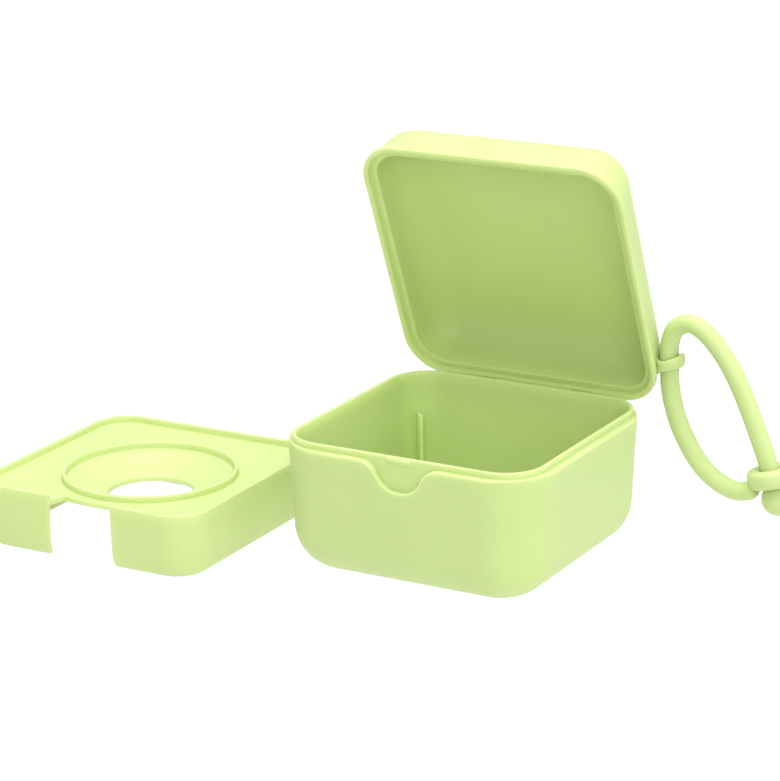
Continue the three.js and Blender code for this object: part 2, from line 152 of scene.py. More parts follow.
def moulded(name, dark, light, roughness, grain_size, grain_depth, glow, sheen=0.0):
    """A moulded finish: two near shades in slow drifts, a fine grain and a drifting roughness."""
    material = bpy.data.materials.new(name)
    material.use_nodes = True
    nodes, links = material.node_tree.nodes, material.node_tree.links
    shader = nodes["Principled BSDF"]
    shader.inputs["Subsurface Weight"].default_value = glow
    shader.inputs["Subsurface Radius"].default_value = MILKY_RADIUS
    shader.inputs["Subsurface Scale"].default_value = MILKY_SCALE
    shader.inputs["Specular IOR Level"].default_value = 0.38
    shader.inputs["Sheen Weight"].default_value = sheen
    shader.inputs["Sheen Roughness"].default_value = 0.6
    place = nodes.new("ShaderNodeTexCoord")

    drift = nodes.new("ShaderNodeTexNoise")
    drift.inputs["Scale"].default_value = DRIFT_SCALE
    drift.inputs["Detail"].default_value = 3.0
    links.new(place.outputs["Object"], drift.inputs["Vector"])
    shades = nodes.new("ShaderNodeValToRGB")
    shades.color_ramp.elements[0].position = 0.3
    shades.color_ramp.elements[0].color = (*dark, 1)
    shades.color_ramp.elements[1].position = 0.7
    shades.color_ramp.elements[1].color = (*light, 1)
    links.new(drift.outputs["Fac"], shades.inputs["Fac"])
    links.new(shades.outputs["Color"], shader.inputs["Base Color"])

    gloss = nodes.new("ShaderNodeMapRange")
    gloss.inputs["To Min"].default_value = roughness - SMOOTHER
    gloss.inputs["To Max"].default_value = roughness + ROUGHER
    links.new(drift.outputs["Fac"], gloss.inputs["Value"])
    links.new(gloss.outputs["Result"], shader.inputs["Roughness"])

    grain = nodes.new("ShaderNodeTexNoise")
    grain.inputs["Scale"].default_value = 1 / grain_size
    grain.inputs["Detail"].default_value = 2.0
    links.new(place.outputs["Object"], grain.inputs["Vector"])
    bump = nodes.new("ShaderNodeBump")
    bump.inputs["Strength"].default_value = GRAIN_STRENGTH
    bump.inputs["Distance"].default_value = grain_depth
    links.new(grain.outputs["Fac"], bump.inputs["Height"])
    links.new(bump.outputs["Normal"], shader.inputs["Normal"])
    return material


case_plastic = moulded(
    "case_plastic", dark=(0.512, 0.625, 0.252), light=(0.527, 0.64, 0.262),
    roughness=0.5, grain_size=0.00035, grain_depth=0.00002, glow=0.6,
)
strap_silicone = moulded(
    "strap_silicone", dark=(0.512, 0.625, 0.256), light=(0.527, 0.64, 0.266),
    roughness=0.6, grain_size=0.0003, grain_depth=0.00001, glow=0.3, sheen=0.05,
)
pin_plastic = moulded(
    "pin_plastic", dark=(0.72, 0.75, 0.66), light=(0.76, 0.78, 0.70),
    roughness=0.35, grain_size=0.0005, grain_depth=0.00001, glow=0.05,
)
print("materials:", [m.name for m in (case_plastic, strap_silicone, pin_plastic)])

# %% [markdown]
# ## The strap
# The silicone loop hangs through the lid's eyelet. It is a free cord, so it comes before the rigid
# pieces: a route of points in the loop's plane, drawn as a round curve and turned into a mesh. It is
# made as two limbs that meet inside the eyelet's bore. One tapers into the eye at its end. The other
# passes through the eye and runs into the knob.

# %% The route
STRAP_RADIUS = 2.7
KNOB_RADIUS = 4.8
EYE_BORE, EYE_OUTER, EYE_HALF = 2.75, 7.0, 2.6
KNOB = Vector((33.75, 34.4, 0.0))
LIMB = Vector((0.331, 0.944, 0.0)).normalized()
EYE_BACK = 6.7  # from the knob's middle to the eye's
EYE = KNOB - LIMB * EYE_BACK
EYE_LEAN = radians(13.0)
ROUTE = [
    (27.3, 32.0), (24.6, 33.45), (20.8, 34.05), (16.25, 32.65), (12.1, 29.95), (8.35, 25.95),
    (4.05, 18.75), (1.8, 13.05), (0.2, 5.9), (0, 0), (-0.15, -5.85), (1.6, -10.8), (5.9, -12.85),
    (10.15, -11.15), (15.75, -5.6), (20.2, 1.2), (24.2, 9.4), (27.6, 17.55),
]
EYELET_POINT = 9  # the route's point in the middle of the eyelet
KNOB_APPROACH = (13.4, 9.3, 5.1, 2.0)  # the route's last points, back from the knob's middle
route = [Vector((outwards, downwards, 0.0)) for outwards, downwards in ROUTE]
route += [KNOB - LIMB * back for back in KNOB_APPROACH]


def smooth_line(points, per_span=6):
    """Close points on a smooth line through the given ones, and where each given one lies."""
    line, marks = [], []
    ends = [points[0] * 2 - points[1], *points, points[-1] * 2 - points[-2]]
    for p0, p1, p2, p3 in zip(ends, ends[1:], ends[2:], ends[3:]):
        marks.append(len(line))
        t1 = sqrt((p1 - p0).length)
        t2 = t1 + sqrt((p2 - p1).length)
        t3 = t2 + sqrt((p3 - p2).length)
        for step in range(per_span):
            t = t1 + (t2 - t1) * step / per_span
            a1 = p0.lerp(p1, t / t1)
            a2 = p1.lerp(p2, (t - t1) / (t2 - t1))
            a3 = p2.lerp(p3, (t - t2) / (t3 - t2))
            b1 = a1.lerp(a2, t / t2)
            b2 = a2.lerp(a3, (t - t1) / (t3 - t1))
            line.append(b1.lerp(b2, (t - t1) / (t2 - t1)))
    return line + [points[-1]], marks + [len(line)]


line, marks = smooth_line(route)
middle = marks[EYELET_POINT]
eye_limb_line = line[middle::-1]
knob_limb_line = line[middle:]


def line_length(points):
    """The length in metres of a line of points in millimetres."""
    return sum((b - a).length for a, b in zip(points, points[1:])) * MM


print("limbs:", round(line_length(eye_limb_line), 4), round(line_length(knob_limb_line), 4), "m")


# %% The limbs
TAPER_REACH, TAPER_LEAST = 1.1, 0.25  # in cord radii from the end, and the share left there


def limb(name, points, tapers):
    """A round cord along a line in the loop's plane, as a mesh tube that may taper at its end."""
    data = bpy.data.curves.new(name, "CURVE")
    data.dimensions = "3D"
    data.bevel_depth = STRAP_RADIUS * MM
    data.bevel_resolution = 7
    data.use_fill_caps = True
    spline = data.splines.new("POLY")
    spline.points.add(len(points) - 1)
    for point, place in zip(spline.points, points):
        point.co = (*(strap_place @ place), 1.0)
        if tapers:
            left = (points[-1] - place).length / STRAP_RADIUS
            missing = 1 - min(left / TAPER_REACH, 1.0)
            point.radius = sqrt(1 - missing ** 2) * (1 - TAPER_LEAST) + TAPER_LEAST
    spline.use_smooth = True
    drawn = bpy.data.objects.new(name + "_line", data)
    bpy.context.scene.collection.objects.link(drawn)
    graph = bpy.context.evaluated_depsgraph_get()
    obj = bpy.data.objects.new(name, bpy.data.meshes.new_from_object(drawn.evaluated_get(graph)))
    bpy.data.objects.remove(drawn)
    bpy.context.scene.collection.objects.link(obj)
    return obj


eye_limb = limb("strap_eye_limb", eye_limb_line, True)
knob_limb = limb("strap_knob_limb", knob_limb_line, False)
for piece in (eye_limb, knob_limb):
    finish_piece(piece, "strap", ["strap_cord"], strap_silicone)


# %% The eye and the knob
def turned(profile, steps=48):
    """A round form: a line of (radius, height) points spun about the Z axis."""
    bm = bmesh.new()
    points = [bm.verts.new((radius, 0, height)) for radius, height in profile]
    edges = [bm.edges.new(pair) for pair in zip(points, points[1:] + points[:1])]
    bmesh.ops.spin(
        bm, geom=points + edges, cent=(0, 0, 0), axis=(0, 0, 1), angle=2 * pi, steps=steps,
        use_merge=True,
    )
    bmesh.ops.remove_doubles(bm, verts=bm.verts, dist=WELD)
    return bm


def washer_profile(bore, outer, half, steps=20, fullness=0.72):
    """A ring's section: an oval from bore to outer radius. A lower fullness makes it squarer."""
    middle, reach = (bore + outer) / 2, (outer - bore) / 2
    points = []
    for step in range(steps):
        a = 2 * pi * step / steps
        x, z = cos(a), sin(a)
        points.append((
            middle + reach * (abs(x) ** fullness) * (1 if x > 0 else -1),
            half * (abs(z) ** fullness) * (1 if z > 0 else -1),
        ))
    return points


along_limb = LIMB.to_track_quat("Z", "Y").to_matrix().to_4x4()
eye_turn = Matrix.Rotation(-EYE_LEAN, 4, "Z") @ Matrix.Rotation(-pi / 2, 4, "X")
eye = as_object(
    turned(washer_profile(EYE_BORE, EYE_OUTER, EYE_HALF)),
    "strap_eye_ring",
    strap_place @ Matrix.Translation(EYE) @ eye_turn,
)
bm = bmesh.new()
bmesh.ops.create_uvsphere(bm, u_segments=48, v_segments=32, radius=KNOB_RADIUS)
knob = as_object(bm, "strap_knob_ball", strap_place @ Matrix.Translation(KNOB) @ along_limb)
finish_piece(eye, "strap", ["strap_eye"], strap_silicone)
finish_piece(knob, "strap", ["strap_knob"], strap_silicone)

# %% [markdown]
# ## A wall drawn up from a rounded square
# Tub, lid and tray are all rounded squares that change a little from level to level. One plain
# outline is made by bevelling a square's corners. Each level is an extrusion of the last one's
# edges, and a small function says where that level's points lie: on a larger or smaller rounded
# square, or on a circle. Fillets are close levels on an arc, so no edge needs a bevel afterwards.

# %% Levels
CORNER_STEPS = 14
SIDE_CUTS = 13
HOLD = 1.0  # a level this far past a fillet's end keeps the flat beside it flat when shaded smooth


def on_square(half_x, half_y, corner, height, shift=0.0):
    """A level that is a rounded square, shifted forwards or backwards where needed."""
    def spread(value, half):
        reach = min(abs(value), 1) * (half - corner) + max(abs(value) - 1, 0) * corner
        return reach if value > 0 else -reach

    return lambda x, y: Vector((spread(x, half_x), spread(y, half_y) + shift, height))


def on_circle(radius, height):
    """A level that is a circle."""
    return lambda x, y: Vector((radius * cos(atan2(y, x)), radius * sin(atan2(y, x)), height))


def between(level, other, share):
    """A level part of the way from one level to another."""
    return lambda x, y: level(x, y).lerp(other(x, y), share)


def arc(centre_inset, centre_height, radius, start, end, steps):
    """Points (inset, height) on an arc. 0 degrees points inwards, 90 upwards."""
    turns = [radians(start + (end - start) * step / steps) for step in range(steps + 1)]
    return [(centre_inset + radius * cos(a), centre_height + radius * sin(a)) for a in turns]


def plain_outline(bm, front_cuts):
    """The edges that every level repeats: a square from -2 to 2 with corners of radius 1."""
    made = bmesh.ops.create_grid(bm, x_segments=1, y_segments=1, size=2.0)["verts"]
    bmesh.ops.bevel(
        bm, geom=made, offset=1.0, affect="VERTICES", segments=CORNER_STEPS, profile=0.5, material=-1
    )
    bmesh.ops.delete(bm, geom=list(bm.faces), context="FACES_ONLY")
    sides = sorted(bm.edges, key=lambda edge: -edge.calc_length())[:4]
    front = min(sides, key=lambda edge: edge.verts[0].co.y + edge.verts[1].co.y)
    bmesh.ops.subdivide_edges(bm, edges=[front], cuts=front_cuts)
    bmesh.ops.subdivide_edges(bm, edges=[edge for edge in sides if edge != front], cuts=SIDE_CUTS)


def loft(levels, closed_on_itself=False, front_cuts=SIDE_CUTS):
    """A closed form through the levels, capped at both ends or joined to itself."""
    bm = bmesh.new()
    plain = bm.verts.layers.float_vector.new("plain")
    plain_outline(bm, front_cuts)
    for v in bm.verts:
        v[plain] = v.co
        v.co = levels[0](v.co.x, v.co.y)
    first = ring = list(bm.edges)
    for level in levels[1:]:
        made = bmesh.ops.extrude_edge_only(bm, edges=ring)["geom"]
        new = {item for item in made if isinstance(item, bmesh.types.BMVert)}
        for v in new:
            v.co = level(v[plain].x, v[plain].y)
        edges = [item for item in made if isinstance(item, bmesh.types.BMEdge)]
        ring = [edge for edge in edges if edge.verts[0] in new and edge.verts[1] in new]
    if closed_on_itself:
        bmesh.ops.remove_doubles(bm, verts=bm.verts, dist=WELD)
    else:
        bmesh.ops.contextual_create(bm, geom=first)
        bmesh.ops.contextual_create(bm, geom=ring)
    return bm


# %% Plain bodies that are joined on or cut away
def add_box(bm, low, high):
    """Adds a box between two corners."""
    made = bmesh.ops.create_cube(bm, size=1.0)["verts"]
    low, high = Vector(low), Vector(high)
    bmesh.ops.scale(bm, vec=high - low, verts=made)
    bmesh.ops.translate(bm, vec=(low + high) / 2, verts=made)


def block(low, high, soft=0.0):
    """A box between two corners. Its edges may be softened."""
    bm = bmesh.new()
    add_box(bm, low, high)
    if soft:
        bmesh.ops.bevel(
            bm, geom=list(bm.edges), offset=soft, affect="EDGES", segments=3, profile=0.5, material=-1
        )
    return bm


def bar(radius, start, end, soft=0.0):
    """A round bar along X about the hinge's axis."""
    bm = bmesh.new()
    bmesh.ops.create_cone(
        bm, cap_ends=True, segments=48, radius1=radius, radius2=radius, depth=end - start
    )
    turn = Matrix.Translation(((start + end) / 2, HINGE.y, HINGE.z)) @ Matrix.Rotation(pi / 2, 4, "Y")
    bmesh.ops.transform(bm, matrix=turn, verts=bm.verts)
    if soft:
        rims = [edge for edge in bm.edges if abs(edge.verts[0].co.x - edge.verts[1].co.x) < 1e-5]
        bmesh.ops.bevel(
            bm, geom=rims, offset=soft, affect="EDGES", segments=3, profile=0.5, material=-1
        )
    return bm


def hull_with_block(bm, low, high):
    """The tightest body round a bar and a box: a moulded foot."""
    add_box(bm, low, high)
    bmesh.ops.delete(bm, geom=list(bm.edges), context="EDGES_FACES")
    bmesh.ops.convex_hull(bm, input=list(bm.verts))
    bmesh.ops.delete(bm, geom=[v for v in bm.verts if not v.link_faces], context="VERTS")
    return bm


# %% [markdown]
# ## The tub
# A water tub with a drafted wall, a generous fillet at its foot and a shoulder that the lid closes
# on. A thin lip stands inside the shoulder. In front the shoulder dips in a finger notch, a round
# bowl with rounded upper corners: the levels that make the shoulder's edge are simply pulled down
# along it, which keeps the edge's small rounding all the way through the dip.

# %% The tub's levels
TUB_CORNER, LIP_CORNER, CAVITY_CORNER = 16.7, 11.6, 10.5
LEAST_CORNER = 1.0  # where levels shrink, so that no outline crosses itself
FOOT, DRAFT = 12.0, 0.05
EDGE = 0.4
LIP_ROUND, LIP_FOOT = 0.3, 0.15
LEAD_IN, LEAD_IN_FOOT = 0.45, 36.6  # how far the mouth narrows below the lip, and down to where
FLOOR, CAVITY_FILLET, CAVITY_DRAFT = 2.8, 9.0, 0.03
NOTCH_ACROSS, NOTCH_HALF, NOTCH_DEPTH, NOTCH_BOWL = 0.8, 11.9, 7.95, 7.5
NOTCH_CUTS = 93  # how finely the front is divided, for the notch's curve
FRONT_ZONE = -30.0  # only what lies further forward dips
WALL_HEIGHTS = (20.0, 27.0)  # plain levels of the wall, below what dips


def outside_level(inset, z):
    """A level of the tub's outer wall, by its inset from the drafted face."""
    depth = inset + DRAFT * (SHOULDER - z)
    return on_square(CASE_HALF - depth, CASE_HALF - depth, TUB_CORNER - depth, z)


def lip_level(inset, z):
    """A level of the lip, by its inset from the lip's outer face."""
    half = CASE_HALF - LIP_INSET - inset
    return on_square(half, half, LIP_CORNER - inset, z)


def cavity_level(inset, z):
    """A level of the cavity, by its inset from the cavity's drafted wall."""
    depth = inset + LEAD_IN + CAVITY_DRAFT * (LEAD_IN_FOOT - z)
    half = CASE_HALF - LIP_INSET - LIP_WALL - depth
    return on_square(half, half, max(CAVITY_CORNER - depth, LEAST_CORNER), z)


# The bowl's centre lies BOWL_ABOVE below the shoulder, the rounded corners have the radius
# NOTCH_SHOULDER, and bowl and corner touch at BOWL_END across.
BOWL_ABOVE = NOTCH_DEPTH - NOTCH_BOWL
NOTCH_SHOULDER = (NOTCH_HALF ** 2 + BOWL_ABOVE ** 2 - NOTCH_BOWL ** 2) / (2 * (NOTCH_BOWL + BOWL_ABOVE))
BOWL_END = NOTCH_HALF * NOTCH_BOWL / (NOTCH_BOWL + NOTCH_SHOULDER)


def notch_drop(across):
    """How deep the notch is: a round bowl, with a rounded corner at each side."""
    if across < BOWL_END:
        return BOWL_ABOVE + sqrt(NOTCH_BOWL ** 2 - across ** 2)
    return NOTCH_SHOULDER - sqrt(NOTCH_SHOULDER ** 2 - (NOTCH_HALF - across) ** 2)


def dipped(level, wall_draft=0.0):
    """The same level, pulled down in front along the finger notch."""
    def place(x, y):
        spot = level(x, y)
        across = abs(spot.x - NOTCH_ACROSS)
        if spot.y < FRONT_ZONE and across < NOTCH_HALF:
            drop = notch_drop(across)
            spot += Vector((0, wall_draft * drop, -drop))
        return spot

    return place


outside = [outside_level(FOOT + HOLD, 0.0)]
outside += [outside_level(i, z) for i, z in arc(FOOT, FOOT, FOOT, 270, 180, 16)]
outside += [outside_level(0, z) for z in (FOOT + HOLD, *WALL_HEIGHTS)]
outside += [dipped(outside_level(0, SHOULDER - 2.5 * EDGE), DRAFT)]
edge_arc = arc(EDGE, SHOULDER - EDGE, EDGE, 180, 90, 5)
outside += [dipped(outside_level(i, z), DRAFT) for i, z in edge_arc]
lip = [dipped(lip_level(-0.35, SHOULDER))]
lip_foot_arc = arc(-LIP_FOOT, SHOULDER + LIP_FOOT, LIP_FOOT, 270, 360, 3)
lip += [dipped(lip_level(i, z)) for i, z in lip_foot_arc[:-1]]
lip += [lip_level(0, z) for z in (SHOULDER + LIP_FOOT, LIP_TOP - LIP_ROUND - 0.3)]
lip_top_arcs = arc(LIP_ROUND, LIP_TOP - LIP_ROUND, LIP_ROUND, 180, 90, 4)
lip_top_arcs += arc(LIP_WALL - LIP_ROUND, LIP_TOP - LIP_ROUND, LIP_ROUND, 90, 10, 4)
lip += [lip_level(i, z) for i, z in lip_top_arcs]
cavity_heights = (LEAD_IN_FOOT, LEAD_IN_FOOT - HOLD, WALL_HEIGHTS[0], FLOOR + CAVITY_FILLET + HOLD)
cavity = [cavity_level(0, z) for z in cavity_heights]
cavity_foot = arc(CAVITY_FILLET, FLOOR + CAVITY_FILLET, CAVITY_FILLET, 180, 270, 14)
cavity += [cavity_level(i, z) for i, z in cavity_foot]
cavity += [cavity_level(CAVITY_FILLET + HOLD, FLOOR)]
tub = as_object(loft(outside + lip + cavity, front_cuts=NOTCH_CUTS), "tub_smooth")
print("tub wall:", len(tub.data.polygons), "faces")

# %% [markdown]
# What is moulded on the tub: a thin rib in each corner for the tray to stand on, the catch bump on
# the lip over the notch, and two ears behind for the pin, with a pocket for the lid's knuckle.

# %% Ribs, bump and hinge ears
RIB_TOP, RIB_INNER, RIB_OUTER, RIB_WIDTH = 26.6, 43.1, 53.0, 1.0
RIB_IN_WALL = 0.6  # the ribs end this far inside the wall's outer face
ribs = bmesh.new()
for corner in range(4):
    made = bmesh.ops.create_cube(ribs, size=1.0)["verts"]
    bmesh.ops.scale(ribs, vec=(RIB_OUTER - RIB_INNER, RIB_WIDTH, RIB_TOP), verts=made)
    bmesh.ops.translate(ribs, vec=((RIB_OUTER + RIB_INNER) / 2, 0, RIB_TOP / 2), verts=made)
    turn = Matrix.Rotation(pi * (corner + 0.5) / 2, 4, "Z")
    bmesh.ops.transform(ribs, matrix=turn, verts=made)
bmesh.ops.bevel(
    ribs, geom=list(ribs.edges), offset=0.15, affect="EDGES", segments=2, profile=0.5, material=-1
)
bounds = [outside_level(i + RIB_IN_WALL, z) for i, z in arc(FOOT, FOOT, FOOT, 265, 180, 12)]
body = loft(bounds + [outside_level(RIB_IN_WALL, 30.0)])
ribs = combine(as_object(ribs, "ribs"), as_object(body, "rib_bounds"), "INTERSECT")
tub = combine(tub, ribs, "UNION")

BUMP_RADIUS, BUMP_STRETCH, BUMP_TALLER = 0.8, 3.05, 1.25
BUMP_SUNK, BUMP_BELOW = 0.31, 1.0  # its middle, behind the lip's outer face and below its top
bump = bmesh.new()
bmesh.ops.create_uvsphere(bump, u_segments=24, v_segments=16, radius=BUMP_RADIUS)
bmesh.ops.rotate(bump, matrix=Matrix.Rotation(pi / 2, 3, "Y"), verts=bump.verts)
for v in bump.verts:
    v.co.x += BUMP_STRETCH * (1 if v.co.x > WELD else -1 if v.co.x < -WELD else 0)
    v.co.z *= BUMP_TALLER
bump_place = (0, -CASE_HALF + LIP_INSET + BUMP_SUNK, LIP_TOP - BUMP_BELOW)
bmesh.ops.translate(bump, vec=bump_place, verts=bump.verts)
tub = combine(tub, as_object(bump, "bump"), "UNION")

KNUCKLE, KNUCKLE_HALF, EAR, EAR_LENGTH, HINGE_GAP = 1.9, 12.0, 2.0, 6.0, 0.3
BAR_SOFT, POCKET_SOFT = 0.25, 0.4
EAR_ROOT = (0.1, 0.6)  # the ear's foot, inside the wall, from the lip's outer face backwards
POCKET_ABOVE = 1.2  # the pocket is open upwards, past the shoulder
EAR_START = KNUCKLE_HALF + HINGE_GAP
for side in (-1, 1):
    ends = sorted((side * EAR_START, side * (EAR_START + EAR_LENGTH)))
    ear = hull_with_block(
        bar(EAR, *ends, soft=BAR_SOFT),
        (ends[0], CASE_HALF - LIP_INSET + EAR_ROOT[0], HINGE.z - 2 * EAR),
        (ends[1], CASE_HALF - LIP_INSET + EAR_ROOT[1], HINGE.z + EAR),
    )
    tub = combine(tub, as_object(ear, "ear"), "UNION")
pocket = block(
    (-EAR_START, HINGE.y - KNUCKLE - HINGE_GAP, HINGE.z - KNUCKLE - HINGE_GAP),
    (EAR_START, HINGE.y + 2 * KNUCKLE, SHOULDER + POCKET_ABOVE),
    soft=POCKET_SOFT,
)
tub = combine(tub, as_object(pocket, "pocket"), "DIFFERENCE")
BORE, BORE_END = 1.15, EAR_START + EAR_LENGTH + HINGE_GAP
tub = combine(tub, as_object(bar(BORE, -BORE_END, BORE_END), "bore"), "DIFFERENCE")
tub.data.transform(tub_place)
finish_piece(tub, "case", ["tub"], case_plastic)

# %% [markdown]
# ## The pin
# A plain moulded pin with softened ends joins knuckle and ears.

# %% Pin
PIN, PIN_PROUD = 1.0, 0.2
PIN_END = EAR_START + EAR_LENGTH + PIN_PROUD
pin = as_object(bar(PIN, -PIN_END, PIN_END, soft=BAR_SOFT), "pin_smooth", tub_place)
finish_piece(pin, "case", ["hinge_pin"], pin_plastic)

# %% [markdown]
# ## The lid
# A shallow lid with a big crown fillet. Its rim has a narrow band that stands proud of the wall, and
# inside a rebate that drops over the tub's lip, with a ledge above it.

# %% The lid's levels
RIM_HALF = 40.11
LID_TOP = 55.2
CROWN, SIDE_DRAFT, FRONT_DRAFT, HOLLOW_DRAFT = 10.35, 0.161, 0.045, 0.02
BAND_PROUD, BAND_HEIGHT = 0.37, 1.65
LID_CORNER, RIM_CORNER = 13.1, 12.1
LID_WALL, HOLLOW_FILLET = 2.3, 10.0
RIM_WALL, REAR_EXTRA, REBATE_DEPTH, LEDGE = 1.55, 0.35, 1.55, 2.0
LEDGE_ROUND, RIM_INNER_ROUND, RIM_OUTER_ROUND = 0.25, 0.2, 0.4


def shell_level(inset, z):
    """A level of the lid's outer wall, which drafts more at the sides than in front and behind."""
    side = inset + BAND_PROUD + SIDE_DRAFT * (z - RIM)
    front = inset + BAND_PROUD + FRONT_DRAFT * (z - RIM)
    corner = max(LID_CORNER + BAND_PROUD - side, LEAST_CORNER)
    return on_square(RIM_HALF - side, RIM_HALF - front, corner, z)


def rim_level(inset, z):
    """A level of the rim's band."""
    return on_square(RIM_HALF - inset, RIM_HALF - inset, max(RIM_CORNER - inset, LEAST_CORNER), z)


def rebate_level(inset, z):
    """A level of the rebate that takes the tub's lip. The rim is thicker at the rear."""
    half = RIM_HALF - RIM_WALL - inset
    return on_square(half, half - REAR_EXTRA / 2, RIM_CORNER - RIM_WALL - inset, z, -REAR_EXTRA / 2)


def hollow_level(inset, z):
    """A level of the hollow above the ledge."""
    return rim_level(RIM_WALL + LEDGE + inset + HOLLOW_DRAFT * (z - RIM - REBATE_DEPTH), z)


ceiling = LID_TOP - LID_WALL
ledge_height = RIM + REBATE_DEPTH
crown_foot = LID_TOP - CROWN
hollow_arc = arc(HOLLOW_FILLET, ceiling - HOLLOW_FILLET, HOLLOW_FILLET, 90, 180, 16)
ledge_arc = arc(-LEDGE_ROUND, ledge_height + LEDGE_ROUND, LEDGE_ROUND, 0, -90, 3)
inner_arc = arc(-RIM_INNER_ROUND, RIM + RIM_INNER_ROUND, RIM_INNER_ROUND, 0, -90, 3)
outer_arc = arc(RIM_OUTER_ROUND, RIM + RIM_OUTER_ROUND, RIM_OUTER_ROUND, 270, 180, 5)
# From the middle of the hollow down to the rim, round it, and up the outside to the top. Where two
# faces meet, a level a few tenths beside the corner gives the edge its small softness.
shell = [hollow_level(HOLLOW_FILLET + HOLD, ceiling)]
shell += [hollow_level(i, z) for i, z in hollow_arc]
shell += [hollow_level(0, z) for z in (ceiling - HOLLOW_FILLET - HOLD, ledge_height + 0.8)]
shell += [hollow_level(i, z) for i, z in ledge_arc]
shell += [rebate_level(0.3, ledge_height)]
shell += [rebate_level(0, z) for z in (ledge_height - 0.15, RIM + 0.5)]
shell += [rebate_level(i, z) for i, z in inner_arc]
shell += [rim_level(i, z) for i, z in outer_arc]
shell += [rim_level(0, RIM + BAND_HEIGHT - 0.2), rim_level(0.06, RIM + BAND_HEIGHT)]
shell += [shell_level(0.0, RIM + BAND_HEIGHT + 0.5), shell_level(0.0, RIM + BAND_HEIGHT + 1.2)]
shell += [shell_level(0, crown_foot - HOLD)]
shell += [shell_level(i, z) for i, z in arc(CROWN, crown_foot, CROWN, 180, 90, 18)]
shell += [shell_level(CROWN + HOLD, LID_TOP)]
lid = as_object(loft(shell), "lid_smooth")
print("lid shell:", len(lid.data.polygons), "faces")

# %% [markdown]
# Two things are moulded on the lid: the knuckle that turns on the pin, and the eyelet. The eyelet's
# ring rises towards its outer end and is thickest at its root.

# %% Knuckle and eyelet
WEB_LOW, WEB_BACK = 0.3, 0.6  # the knuckle's web: above the rim, and behind the hinge's axis
knuckle = hull_with_block(
    bar(KNUCKLE, -KNUCKLE_HALF, KNUCKLE_HALF, soft=BAR_SOFT),
    (-KNUCKLE_HALF, HINGE.y - KNUCKLE, RIM + WEB_LOW),
    (KNUCKLE_HALF, HINGE.y + WEB_BACK, RIM + REBATE_DEPTH / 2),
)
lid = combine(lid, as_object(knuckle, "knuckle"), "UNION")
lid = combine(lid, as_object(bar(BORE, -KNUCKLE_HALF - 1, KNUCKLE_HALF + 1), "bore"), "DIFFERENCE")

EYELET_BORE, EYELET_OUTER, EYELET_HALF = 2.85, 4.3, 1.55
EYELET_LIFT, EYELET_SLANT = 0.6, 0.31
OUTER_SWELL, ROOT_SWELL = 0.35, 1.0  # how much thicker the ring is at its two ends
ring = turned(washer_profile(EYELET_BORE, EYELET_OUTER, EYELET_HALF, 24, 0.9), 64)
for v in ring.verts:  # the turn below points the ring's Z axis down, so less z is higher
    share = v.co.x / EYELET_OUTER
    thicker = 1 + (OUTER_SWELL if share > 0 else ROOT_SWELL) * share ** 2
    v.co.z = v.co.z * thicker - EYELET_LIFT - EYELET_SLANT * v.co.x
eyelet_turn = Matrix.Rotation(OPEN_ANGLE - pi, 4, "X")
ring = as_object(ring, "eyelet", Matrix.Translation(EYELET) @ eyelet_turn)
lid = combine(lid, ring, "UNION")
lid.data.transform(lid_place)
finish_piece(lid, "lid", ["lid"], case_plastic)

# %% [markdown]
# ## The tray
# One wall all the way: up the outside of the skirt, over the rim, down to the plate, over the
# collar, down the dish to the drain hole and back underneath. Its levels turn from rounded squares
# into circles and back, and the last level meets the first. A cutter then opens the front. Its left
# side slants a little, and it flares at the foot, which rounds the cut-out's lower corners.

# %% The tray's levels
TRAY_HALF, TRAY_HEIGHT, TRAY_WALL = 36.3, 18.5, 1.0
TRAY_CORNER, TRAY_DRAFT = 10.0, 0.028
TURN_IN, TURN_HEIGHT = 2.0, 7.0
PLATE, PLATE_AT_COLLAR, PLATE_THICKNESS = 16.6, 15.0, 1.5
COLLAR, COLLAR_TOP, COLLAR_WALL = 25.2, 16.9, 1.0
DRAIN, DRAIN_TOP = 12.4, 10.1
SOFT = 0.28  # the small rounding of every free edge
collar_inner = COLLAR - COLLAR_WALL
fall = (PLATE_AT_COLLAR - DRAIN_TOP) / (collar_inner - DRAIN)
under_plate = PLATE - PLATE_THICKNESS


def skirt_level(inset, z):
    """A level of the skirt, whose foot curves inwards."""
    lift = max(1 - z / TURN_HEIGHT, 0.0)
    depth = inset + TURN_IN * (1 - sqrt(max(1 - lift ** 2, 0.0))) + TRAY_DRAFT * (TRAY_HEIGHT - z)
    return on_square(TRAY_HALF - depth, TRAY_HALF - depth, TRAY_CORNER - depth, z)


def dish(radius):
    """The height of the dish, which falls evenly from the collar to the drain."""
    return PLATE_AT_COLLAR - fall * (collar_inner - radius)


def soft_steps(radius, steps=3):
    """How far each level of a small rounding lies from the two faces it joins."""
    angles = [pi / 2 * k / steps for k in range(steps + 1)]
    return [(radius * (1 - cos(a)), radius * (1 - sin(a))) for a in angles]


# In the order of the text above. A level a few tenths beside a corner softens its edge.
rounding = soft_steps(SOFT)
rise = [TURN_HEIGHT * (1 - cos(pi / 2 * k / 9)) for k in range(1, 10)]
tray_levels = [skirt_level(inset, z) for inset, z in rounding[::-1]]
tray_levels += [skirt_level(0, z) for z in rise[1:]]
tray_levels += [skirt_level(inset, TRAY_HEIGHT - drop) for inset, drop in rounding]
tray_levels += [skirt_level(TRAY_WALL - inset, TRAY_HEIGHT - drop) for inset, drop in rounding[::-1]]
tray_levels += [skirt_level(TRAY_WALL, PLATE + 0.3), skirt_level(TRAY_WALL + 0.06, PLATE + 0.1)]
tray_levels += [skirt_level(TRAY_WALL + 0.25, PLATE)]
plate_edge, plate_end = tray_levels[-1], on_circle(COLLAR + 0.25, PLATE_AT_COLLAR + 0.02)
tray_levels += [between(plate_edge, plate_end, share) for share in (0.08, 0.3, 0.6, 0.85)]
